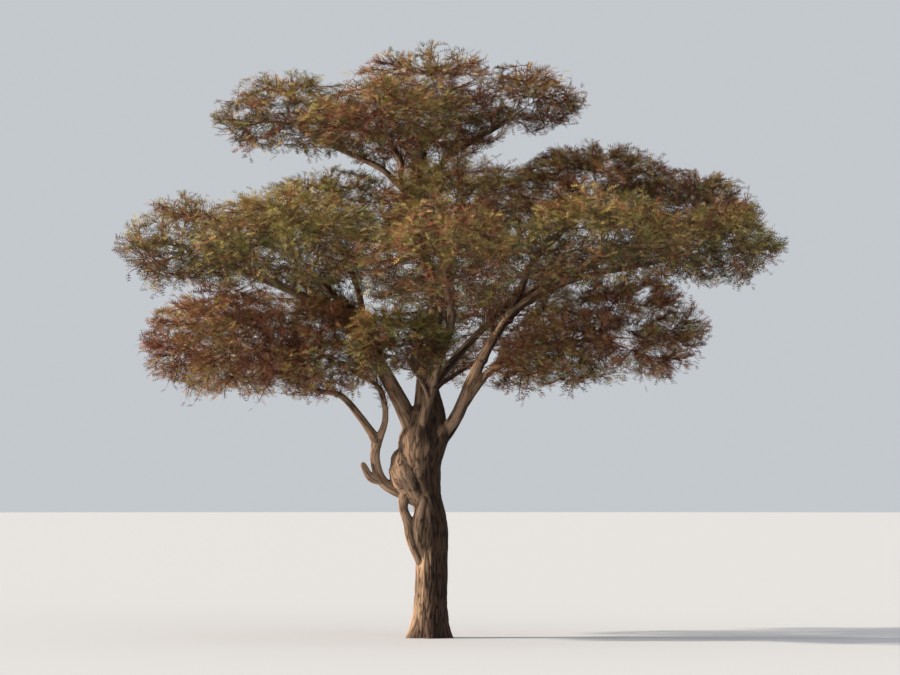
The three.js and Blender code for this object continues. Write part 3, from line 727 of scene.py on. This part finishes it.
def twiglet_lines(mass, seed, lines, bases, gap):
    """Three-point lines of the twiglets along every shoot of a mass, with the radius at the root."""
    rows = []
    for number, (line, base) in enumerate(zip(lines, bases)):
        length = np.linalg.norm(np.diff(line, axis=0), axis=1).sum()
        shares = np.linspace(TWIGLET["from"], 1, max(2, int(length / gap)))
        main = np.full(len(shares), number < SOURCE_SHOOTS)
        rows.append((*along_line(line, shares), base + (TWIG_END - base) * shares, main))
    roots, ways, radii, main = (np.concatenate(column) for column in zip(*rows))
    count = len(roots)
    angles = GOLDEN_ANGLE * np.arange(count) + TWIGLET["turn"] * spread(0, count, 1, seed)
    lengths = TWIGLET["longest"] * varied(TWIGLET["length"], spread(0, count, 2, seed))
    whips = spread(11, count, 3, seed) < WHIPS["share"]
    lengths = np.where(whips, lengths * WHIPS["longer"], lengths)
    outs = np.where(whips, WHIPS["out"], TWIGLET["out"])[:, None]
    found = np.zeros(count, bool)
    result = np.zeros((count, 3, 3))
    for turn, shorter in TWIGLET_TRIES:
        todo = np.flatnonzero(~found)
        if not len(todo):
            break
        aside = round_about(ways[todo], angles[todo] + turn)
        outward = unit((roots[todo] - mass.at) / mass.half)
        way = unit(TWIGLET["lean"] * ways[todo] + aside + outs[todo] * outward + TWIGLET["lift"] * UP)
        length = (lengths[todo] * shorter)[:, None]
        bend = round_about(way, 2 * angles[todo]) * TWIGLET["bend"]
        middle = roots[todo] + (way * 0.5 + bend) * length
        line = np.stack([roots[todo], middle, roots[todo] + way * length], 1)
        thick = mass.holds(line[:, 2], EDGE, dented=True)
        fits = mass.holds(line[:, 2], EDGE) & (thick | main[todo])
        fits |= mass.holds(line[:, 2], -SPILL) & whips[todo]
        fits &= mass.holds(line[:, 1], EDGE)
        fits[fits] = clear_of_limbs(line[fits, 2], TWIG_END)
        result[todo[fits]] = line[fits]
        found[todo[fits]] = True
    radii = np.where(whips, WHIPS["radius"], np.minimum(radii, TWIGLET["radius"]))
    return result[found], radii[found]


# A spray of leaves, of unit length along X: a stalk, and three pairs of leaflets from it
SPRAY_POINTS = np.array([
    (0, 0.03, 0), (0, -0.03, 0), (1, 0, -0.1),
    (0.16, 0, -0.016), (0.28, 0, -0.028), (0.4, 0.34, 0.08), (0.4, -0.34, 0.08),
    (0.42, 0, -0.042), (0.54, 0, -0.054), (0.68, 0.36, 0.05), (0.68, -0.36, 0.05),
    (0.68, 0, -0.068), (0.79, 0, -0.079), (0.96, 0.27, 0), (0.96, -0.27, 0),
])
SPRAY_TIP = 2
SPRAY_FACES = np.array([
    (0, 1, 2), (3, 4, 5), (4, 3, 6), (7, 8, 9), (8, 7, 10), (11, 12, 13), (12, 11, 14),
])


def spray_points(mass, twiglets, seed):
    """Sprays along each twiglet: their points, and the twiglet that each is on."""
    count = len(twiglets)
    kept, owners = [], []
    for k, share in enumerate(SPRAY["places"]):
        wanted = np.flatnonzero(spread(k * 7, count, k % len(EVEN_STEPS), seed) < mass.leafiness)
        line = twiglets[wanted]
        late = share > 0.5
        a, b = (line[:, 1], line[:, 2]) if late else (line[:, 0], line[:, 1])
        root = a + (b - a) * (share * 2 - late)
        way = unit(b - a)
        angles = GOLDEN_ANGLE * wanted + SPRAY["turn"] * k
        if share < 1:
            way = unit(way + SPRAY["out"] * round_about(way, angles))
        way = unit(way * (1, 1, SPRAY["level"]))
        size = SPRAY["length"] * varied(SPRAY["sizes"], spread(k, count, 3, seed)[wanted])
        fits = mass.holds(root + way * size[:, None], -SPILL)
        root, way, size, angles = root[fits], way[fits], size[fits], angles[fits]
        level = unit(np.cross(UP + NUDGE, way))
        over = np.cross(way, level)
        roll = (SPRAY["roll"] * np.sin(angles * SPRAY["rolls"]))[:, None]
        side = level * np.cos(roll) + over * np.sin(roll)
        axes = np.stack([way, side, np.cross(way, side)], 1) * size[:, None, None]
        kept.append(root[:, None] + SPRAY_POINTS @ axes)
        owners.append(wanted[fits])
    return np.concatenate(kept), np.concatenate(owners)


def srgb(text):
    """A linear colour from the sRGB code of the shade."""
    values = [int(text[i:i + 2], 16) / 255 for i in (0, 2, 4)]
    return (*[v / 12.92 if v <= 0.04045 else ((v + 0.055) / 1.055) ** 2.4 for v in values], 1)


def shiny_material(name, roughness, specular):
    """A new material and its shader, with the roughness and specular level."""
    material = bpy.data.materials.new(name)
    material.use_nodes = True
    shader = material.node_tree.nodes["Principled BSDF"]
    shader.inputs["Roughness"].default_value = roughness
    shader.inputs["Specular IOR Level"].default_value = specular
    return material, shader


def plain_material(name, shade, shine):
    """One colour all over."""
    material, shader = shiny_material(name, *shine)
    shader.inputs["Base Color"].default_value = srgb(shade)
    return material


def node(tree, kind, inputs=(), **settings):
    """A shader node, its settings, and its inputs as values or as sockets to link from."""
    made = tree.nodes.new(kind)
    for key, value in settings.items():
        setattr(made, key, value)
    for key, value in dict(inputs).items():
        if isinstance(value, bpy.types.NodeSocket):
            tree.links.new(value, made.inputs[key])
        else:
            made.inputs[key].default_value = value
    return made


def bark_material():
    """Dry acacia bark: dark fissures between ridges, nearly black with painted shade and tan with painted
    sunlight on its left side and on the limbs painted as lit, with bleached patches, rough all over."""
    material, shader = shiny_material("bark_acacia", *BARK_SHINE)
    tree = material.node_tree
    grain, ridge, painted_light_and_bleach = (
        node(tree, "ShaderNodeAttribute", attribute_name=name) for name in ("grain", "ridge", "painted_light_and_bleach")
    )
    stretched = node(
        tree, "ShaderNodeMapping", {"Vector": grain.outputs["Vector"], "Scale": (1, 1, 0.25)}
    )
    patches, fine = (
        node(tree, "ShaderNodeTexNoise", {"Vector": stretched.outputs[0], "Scale": scale, "Detail": detail})
        for scale, detail in ((9, 5), (110, 6))
    )
    mixed = node(
        tree, "ShaderNodeMath",
        {0: fine.outputs["Fac"], 1: 0.5, 2: ridge.outputs["Fac"]}, operation="MULTIPLY_ADD",
    )
    ramps = []
    for shades in (SHADED_BARK, LIT_AND_BLEACHED_BARK):
        ramp = node(tree, "ShaderNodeValToRGB", {"Fac": mixed.outputs[0]})
        ramp.color_ramp.elements.new(SHADE_PLACES[1])
        for element, position, shade in zip(ramp.color_ramp.elements, SHADE_PLACES, shades):
            element.position = position
            element.color = srgb(shade)
        ramps.append(ramp.outputs["Color"])
    # Painted light: the bark in painted shade mixed with the bark in painted sunlight and bleached patches
    lit_and_bleached_mix = node(
        tree, "ShaderNodeMix", {"Factor": painted_light_and_bleach.outputs["Fac"], "A": ramps[0], "B": ramps[1]},
        data_type="RGBA",
    )
    tone = node(
        tree, "ShaderNodeMapRange",
        {"Value": patches.outputs["Fac"], "From Min": 0.3, "From Max": 0.7, "To Min": 0.6, "To Max": 1.3},
    )
    toned = node(
        tree, "ShaderNodeMix", {"Factor": 1, "A": lit_and_bleached_mix.outputs["Result"], "B": tone.outputs[0]},
        data_type="RGBA", blend_type="MULTIPLY",
    )
    bump = node(
        tree, "ShaderNodeBump", {"Height": fine.outputs["Fac"], "Strength": 0.6, "Distance": 0.004}
    )
    tree.links.new(toned.outputs["Result"], shader.inputs["Base Color"])
    tree.links.new(bump.outputs["Normal"], shader.inputs["Normal"])
    return material


def tube(name, points, radii):
    """A round tube along points with half-round ends, as a curve to be turned to a mesh."""
    turns = np.radians(ROUND_END)
    rise, fall = np.sin(turns)[:, None], np.cos(turns)
    back, ahead = unit(points[0] - points[1]), unit(points[-1] - points[-2])
    head = points[0] + back * rise[::-1] * radii[0]
    tail = points[-1] + ahead * rise * radii[-1]
    points = np.concatenate([head, points, tail])
    radii = np.concatenate([fall[::-1] * radii[0], radii, fall * radii[-1]])
    curve = bpy.data.curves.new(name, "CURVE")
    curve.dimensions = "3D"
    curve.bevel_depth = 1
    curve.bevel_resolution = TUBE_ROUNDNESS
    curve.use_fill_caps = True
    spline = curve.splines.new("POLY")
    spline.points.add(len(points) - 1)
    for point, at, radius in zip(spline.points, points, radii):
        point.co = (*at, 1)
        point.radius = radius
    return linked(name, curve)


def only_active(piece):
    """Select one piece alone and make it the active one."""
    bpy.ops.object.select_all(action="DESELECT")
    piece.select_set(True)
    bpy.context.view_layer.objects.active = piece


def melted(name, tubes, voxel):
    """Tubes grown together into one skin."""
    only_active(tubes[0])
    for one in tubes[1:]:
        one.select_set(True)
    bpy.ops.object.convert(target="MESH")
    bpy.ops.object.join()
    piece = bpy.context.view_layer.objects.active
    piece.name = name
    remesh = piece.modifiers.new("skin", "REMESH")
    remesh.mode = "VOXEL"
    remesh.voxel_size = voxel
    bpy.ops.object.modifier_apply(modifier=remesh.name)
    smooth = piece.modifiers.new("smooth", "SMOOTH")
    smooth.iterations = SMOOTHING
    bpy.ops.object.modifier_apply(modifier=smooth.name)
    return piece


def point_vectors(mesh, kind):
    """The places of a mesh's points, which are called co, or their normals."""
    values = np.zeros(len(mesh.vertices) * 3)
    mesh.vertices.foreach_get(kind, values)
    return values.reshape(-1, 3)


def painted_light_and_bleach_start(name):
    """How much painted sunlight and bleach a limb or stub has to begin with."""
    if name in LIMBS_PAINTED_LIT:
        return PAINTED_LIGHT_AND_BLEACH["pale"]
    return PAINTED_LIGHT_AND_BLEACH["boughs" if name in limbs and name != "trunk" else "trunk"]


def nearest_limbs(points):
    """For each point: its place in its own limb's grain, that limb's radius, whether it is the trunk, how
    clear of a joint it is, from 0 to 1, and how much painted sunlight and bleach the limbs about it have."""
    count = len(points)
    best, second = np.full((2, count), np.inf)
    grain = np.zeros((count, 3))
    radius, start, weights = np.zeros((3, count))
    on_trunk = np.zeros(count, bool)
    for index, (name, limb) in enumerate(all_limbs.items()):
        gap, i = limb.nearest(points)
        closer = gap < best
        second = np.where(closer, best, np.minimum(second, gap))
        best = np.where(closer, gap, best)
        k = i[closer]
        offset = points[closer] - limb.at[k]
        x = (offset * limb.across[k]).sum(1)
        y = (offset * limb.along[k]).sum(1)
        z = limb.so_far[k] + (offset * limb.way[k]).sum(1)
        r = limb.reach[k]
        size = r / np.maximum(np.hypot(x, y), LEAST_OFFSET)
        grain[closer] = np.stack([x * size + index * BARK["shift"], y * size, z], 1)
        radius[closer] = r
        on_trunk[closer] = name == "trunk"
        weight = np.exp(-gap / PAINTED_LIGHT_AND_BLEACH["blend"])
        start += weight * painted_light_and_bleach_start(name)
        weights += weight
    calm = np.clip((second - best) / BARK["calm"], 0, 1)
    return grain, radius, on_trunk, calm, start / weights


def uneven(places):
    """Smooth noise at each place."""
    return np.array([noise.noise(Vector(p)) for p in places])


def set_attribute(mesh, name, kind, values):
    """A number or a vector for each of a mesh's points."""
    field = "vector" if kind == "FLOAT_VECTOR" else "value"
    attribute = mesh.attributes.new(name, kind, "POINT")
    attribute.data.foreach_set(field, values.astype(np.float32).ravel())


def carve_bark(piece):
    """Buttresses and flutes on the trunk, and fissured bark all over, by moving the skin's points."""
    mesh = piece.data
    points, normals = point_vectors(mesh, "co"), point_vectors(mesh, "normal")
    grain, radius, on_trunk, calm, start = nearest_limbs(points)
    sizes = np.array((BARK["wide"], BARK["wide"], BARK["long"]))
    wide = np.abs(uneven(grain / sizes))
    fine = uneven(grain / (sizes * BARK["fine"]))
    ridge = np.clip(wide / BARK["fissure"], 0, 1) ** BARK["round"] + BARK["crumble"] * fine
    depth = np.clip(radius * BARK["share"], BARK["least"], BARK["most"])
    moved = points + normals * ((ridge - BARK["level"]) * depth * varied(BARK["joint"], calm))[:, None]
    z = np.maximum(points[:, 2], 0)
    middle = trunk_curve.at_length(np.clip(z / TRUNK[-1][0][2], 0, 1))
    offset = (points - middle) * (1, 1, 0)
    angle = np.arctan2(-offset[:, 0], -offset[:, 1])
    foot = np.exp(-z / FLARE["height"])
    buttress = FLARE["depth"] * foot * np.cos(FLARE["buttresses"] * angle + FLARE["turn"])
    flute = FLUTE["depth"] * np.cos(FLUTE["count"] * angle + FLUTE["turn"] + FLUTE["twist"] * z)
    moved += offset * ((buttress + flute) * on_trunk * calm)[:, None]
    mesh.vertices.foreach_set("co", moved.astype(np.float32).ravel())
    patch = uneven(grain / PAINTED_LIGHT_AND_BLEACH["size"])
    # Painted light: paler on the side that faces the lamps on the left and on the limbs painted as lit; the
    # noise patches are bleached bark
    painted_light_and_bleach = start - PAINTED_LIGHT_AND_BLEACH["lean"] * normals[:, 0] + PAINTED_LIGHT_AND_BLEACH["patch"] * patch
    set_attribute(mesh, "grain", "FLOAT_VECTOR", grain)
    set_attribute(mesh, "ridge", "FLOAT", ridge)
    set_attribute(mesh, "painted_light_and_bleach", "FLOAT", np.clip(painted_light_and_bleach, 0, 1))
    mesh.update()


def limb_tube(name, first=0, last=1):
    """A tube along a limb from one share of its length to another."""
    limb = all_limbs[name]
    shares = limb.so_far / limb.so_far[-1]
    part = (shares >= first) & (shares <= last)
    return tube(name, limb.at[part], limb.radii[part])


def build_wood():
    """The trunk with the forks of its boughs, and the boughs beyond them."""
    forking = [m.name for m in masses if m.parent in ("trunk", "low_left")]
    trunk = limbs["trunk"]
    sunk_at = np.vstack([trunk.at[0] - trunk.way[0] * GROUND_MARGIN, trunk.at])
    sunk_radii = np.concatenate([trunk.radii[:1], trunk.radii])
    forks = [tube("trunk", sunk_at, sunk_radii), limb_tube("low_left")]
    beyond = []
    for mass in masses:
        share = min(FORK["length"] / limbs[mass.name].curve.length, FORK["most"])
        if mass.name in forking:
            forks.append(limb_tube(mass.name, last=share))
            beyond.append(limb_tube(mass.name, share - FORK["overlap"]))
        else:
            beyond.append(limb_tube(mass.name))
    forks += [limb_tube(name) for name in stubs]
    trunk_piece = melted("trunk_and_forks", forks, TRUNK_VOXEL)
    bough_piece = melted("boughs", beyond, BOUGH_VOXEL)
    bark = bark_material()
    for piece in (trunk_piece, bough_piece):
        carve_bark(piece)
        piece.data.materials.append(bark)
        only_active(piece)
        bpy.ops.object.shade_smooth()
    # The flat cut at ground level
    only_active(trunk_piece)
    bpy.ops.object.mode_set(mode="EDIT")
    bpy.ops.mesh.select_all(action="SELECT")
    bpy.ops.mesh.bisect(plane_co=(0, 0, 0), plane_no=(0, 0, 1), clear_inner=True, use_fill=True)
    bpy.ops.object.mode_set(mode="OBJECT")
    trunk_nodes = ["trunk", "bough_low_left"]
    bough_nodes = ["bough_" + m.name for m in masses]
    near = ["bough_" + name for name in forking]
    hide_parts(*trunk_nodes, *near)
    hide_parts(*bough_nodes)
    return [trunk_piece, bough_piece]


class Sleeve:
    """The space round a bough, for the twiglets that it bears itself."""

    def __init__(self, line):
        self.at = line.mean(0) - UP * SLEEVE["lift"]
        self.half = np.ones(3)
        self.leafiness, self.green = SLEEVE["leafiness"], SLEEVE["green"]

    def holds(self, points, margin, dented=False):
        """It has no edge."""
        return np.ones(len(points), bool)


def in_lane(points):
    """Which points would hide the pale right bough, which the crown leaves in view."""
    line = limbs[LANE["bough"]].curve.at_length(np.linspace(0, 1, LANE["steps"]))
    line = line[(line[:, 0] > LANE["from"]) & (line[:, 0] < LANE["to"])]
    hides = np.zeros(points.shape[:-1], bool)
    for at in line:
        across = np.hypot(points[..., 0] - at[0], points[..., 2] - at[2])
        hides |= (across < LANE["width"]) & (points[..., 1] < at[1])
    return hides


def shade_twiglets(mass, ends, seed):
    """Which twiglets, by their ends, get the darker tints of painted shade: low in the mass, deep inside
    it, and in the crown's core.
    """
    chance = spread(9, len(ends), 2, seed)
    places = (ends - mass.at) / mass.half
    under = places[:, 2] < UNDERSIDE["from"] - UNDERSIDE["depth"] * chance
    under |= np.linalg.norm(places, axis=1) < UNDERSIDE["inside"] * varied(UNDERSIDE["edge"], chance)
    if mass.low:
        under &= chance < UNDERSIDE["low"]
    core = (ends - CORE["at"]) / CORE["half"]
    return under | (np.linalg.norm(core, axis=1) < varied(CORE["edge"], chance))


def add_rods(heaps, kinds, lines, radii, sides):
    """Rods shared out to the heaps by kind. A point past the last radius stays one, as a sharp end."""
    ringed = radii.shape[1]
    faces = rod_faces(ringed, sides, pointed=lines.shape[1] > ringed)
    for kind, heap in enumerate(heaps):
        mine = kinds == kind
        rings = rod_points(lines[mine][:, :ringed], radii[mine], sides)
        heap.add(np.concatenate([rings, lines[mine][:, ringed:]], 1), faces)


def add_twiglets(space, seed, twiglets, radii, under, heaps):
    """Twiglets and the sprays on them, dealt out by tint, and none of them in the lane."""
    kept = ~in_lane(twiglets[:, 1:]).any(1)
    twiglets, radii, under = twiglets[kept], radii[kept], under[kept]
    patches = waves(twiglets[:, 2] + PATCH["shift"], PATCH["size"]) - 0.5
    green = np.clip(space.green + PATCH["swing"] * patches, 0, 1)
    taper = np.stack([radii, TWIGLET["taper"] * radii], 1)
    kinds = tints_for(TWIG_TINTS, green, under, spread(3, len(twiglets), 0, seed))
    add_rods(heaps["twigs"], kinds, twiglets, taper, TWIGLET["sides"])
    sprays, owners = spray_points(space, twiglets, seed)
    kinds = tints_for(LEAF_TINTS, green, under, spread(5, len(twiglets), 1, seed))[owners]
    shown = ~in_lane(sprays[:, SPRAY_TIP])
    for kind, heap in enumerate(heaps["leaves"]):
        heap.add(sprays[shown & (kinds == kind)], SPRAY_FACES)


def add_mass(mass, seed, heaps):
    """A mass: its stem, its shoots, and the twiglets on them with their sprays."""
    lines, bases = grow_mass(mass, seed)
    stem_radii = np.linspace(bases[0], 2 * TWIG_END, STEM["rings"])
    add_rods(heaps["twigs"][:1], np.zeros(1), lines[0][None], stem_radii[None], STEM["sides"])
    shoots = np.array(lines[1:])
    radii = np.linspace(bases[1:], TWIG_END, len(SHOOT_BENDS), axis=1)
    kinds = tints_for(TWIG_TINTS, mass.green, False, spread(0, len(shoots), 3, seed))
    add_rods(heaps["twigs"], kinds, shoots, radii, SHOOT["sides"])
    twiglets, radii = twiglet_lines(mass, seed, lines[1:], bases[1:], mass.gap)
    under = shade_twiglets(mass, twiglets[:, 2], seed)
    add_twiglets(mass, seed, twiglets, radii, under, heaps)


def add_sleeve(mass, seed, heaps):
    """The twiglets and sprays on the bough that leads to a mass."""
    bough = limbs[mass.name].curve.at_length(np.linspace(SLEEVE["from"], 1, SLEEVE["rings"]))
    sleeve = Sleeve(bough)
    twiglets, radii = twiglet_lines(sleeve, seed, [bough], [TWIGLET["radius"]], SLEEVE["gap"])
    # Painted shade: every twiglet on a bough takes the darker tints of the underside
    add_twiglets(sleeve, seed, twiglets, radii, np.ones(len(twiglets), bool), heaps)


def tinted_heaps(name, material, tints, shine):
    """A heap for each tint, with its own plain material."""
    return [
        Heap(f"{name}_{tint}", plain_material(f"{material}_{tint}", shade, shine))
        for tint, shade, *_ in tints
    ]


def build_foliage():
    """Twigs and leaves of every mass, gathered by tint."""
    heaps = {
        # Dry acacia twig: dull bark, hardly any shine
        "twigs": tinted_heaps("twigs", "acacia_twig", TWIG_TINTS, TWIG_SHINE),
        # Acacia leaflet: small and dusty, with the faint soft shine of its skin
        "leaves": tinted_heaps("leaves", "acacia_leaflet", LEAF_TINTS, LEAFLET_SHINE),
    }
    for seed, mass in enumerate(masses):
        add_mass(mass, seed, heaps)
        add_sleeve(mass, seed, heaps)
    made = []
    for heap in heaps["twigs"] + heaps["leaves"]:
        heap.close()
        made += heap.pieces
    foliage_nodes = ["foliage_" + m.name for m in masses]
    for piece in made:
        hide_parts(*foliage_nodes)
    return made


def build_stage():
    """A pale floor, soft light from all round, a warm sun from the left and the camera at eye height."""
    bpy.ops.mesh.primitive_circle_add(vertices=FLOOR_SIDES, radius=FLOOR_RADIUS, fill_type="NGON")
    floor = bpy.context.object
    floor.name = "floor"
    # Pale dry clay, quite dull
    floor.data.materials.append(plain_material("floor_pale_clay", FLOOR_SHADE, FLOOR_SHINE))
    world = bpy.context.scene.world or bpy.data.worlds.new("sky")
    bpy.context.scene.world = world
    world.use_nodes = True
    background = world.node_tree.nodes["Background"]
    background.inputs["Color"].default_value = srgb(SKY_SHADE)
    background.inputs["Strength"].default_value = SKY_STRENGTH
    for name, to_light, strength, shade, angle in LAMPS:
        lamp = bpy.data.lights.new(name, "SUN")
        lamp.energy = strength
        lamp.color = srgb(shade)[:3]
        lamp.angle = angle
        holder = linked(name, lamp)
        holder.rotation_euler = Vector(to_light).to_track_quat("Z", "Y").to_euler()
    camera = bpy.data.cameras.new("camera")
    camera.lens = LENS
    camera.clip_end = CAMERA_REACH
    holder = linked("camera", camera)
    holder.location = CAMERA_AT
    aim = Vector(CAMERA_AIM) - Vector(CAMERA_AT)
    holder.rotation_euler = aim.to_track_quat("-Z", "Y").to_euler()
    bpy.context.scene.camera = holder
    bpy.context.scene.view_settings.view_transform = "Standard"


for piece in build_wood():
    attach(piece, "root")
for piece in build_foliage():
    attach(piece, "root")
build_stage()
